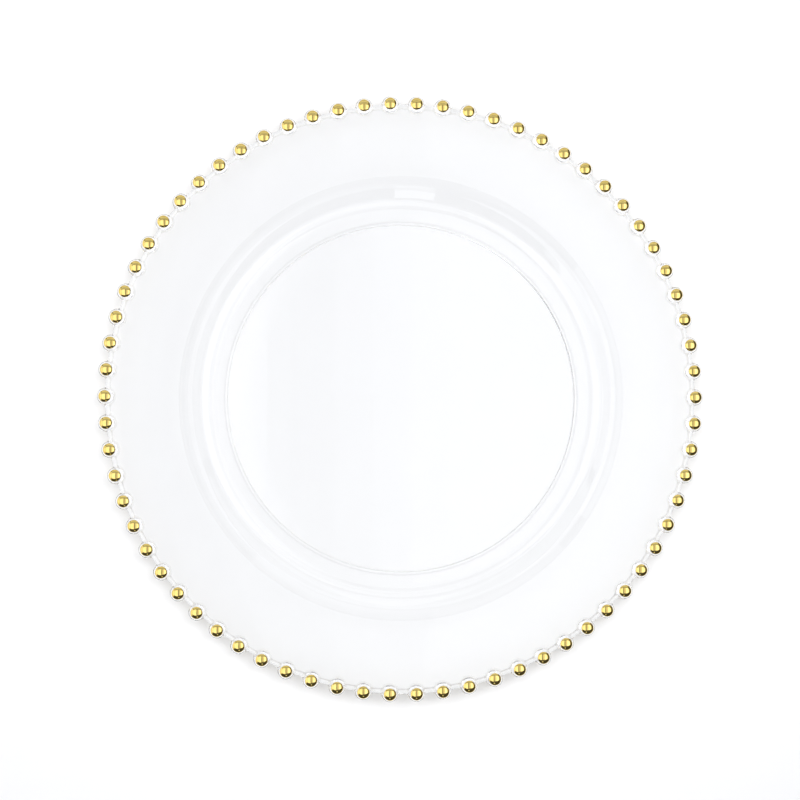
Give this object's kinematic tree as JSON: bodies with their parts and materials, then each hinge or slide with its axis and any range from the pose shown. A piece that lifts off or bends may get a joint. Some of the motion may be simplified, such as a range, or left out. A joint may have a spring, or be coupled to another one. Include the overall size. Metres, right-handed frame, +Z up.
{
  "type": "charger plate",
  "caption": "Round clear glass charger plate with a flat well, coved wall, rising rim and a border of clear balls with gilded caps.",
  "frame": {"origin": "centre of the foot ring's standing plane, on the plate's axis", "axes": "+Z up along the plate's axis, +X through the centre of one rim ball"},
  "size_m": [0.33, 0.3296, 0.0203],
  "materials": {
    "clear_glass": "clear, fire-polished",
    "gold_gilding": "polished gilding"
  },
  "bodies": {
    "root": {"plate": "clear_glass", "clear_beads": "clear_glass", "gold_caps": "gold_gilding"}
  },
  "joints": []
}
